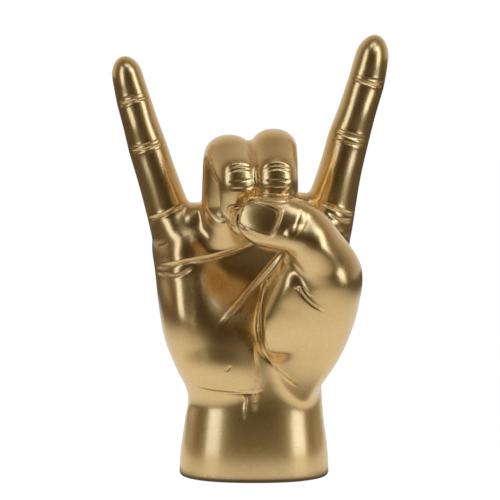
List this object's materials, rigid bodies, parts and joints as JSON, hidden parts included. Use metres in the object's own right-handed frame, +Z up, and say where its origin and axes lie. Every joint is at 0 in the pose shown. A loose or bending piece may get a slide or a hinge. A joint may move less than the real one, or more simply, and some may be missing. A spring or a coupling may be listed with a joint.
{
  "type": "hand gesture statue",
  "caption": "Free-standing right-hand statue in gold, index and little fingers raised, thumb laid over the two folded fingers, on a flat felted wrist cut.",
  "frame": {"origin": "middle of the underside of the felt pad, on the surface that the statue stands on", "axes": "+Z up along the wrist; -Y the way the palm faces; +X the side of the thumb and index finger"},
  "size_m": [0.1253, 0.0796, 0.2025],
  "materials": {
    "gold_paint": "satin metallic gold paint with a fine fleck over cast polyresin, shinier on the high places",
    "plaster": "matte cast plaster",
    "black_plastic": "matte",
    "felt": "short felt nap",
    "steel": "drawn wire"
  },
  "bodies": {
    "root": {"hand_casting": "gold_paint", "ballast_block": "plaster", "base_plate": "black_plastic", "felt_pad": "felt", "index_finger_wire": "steel", "little_finger_wire": "steel"}
  },
  "joints": []
}
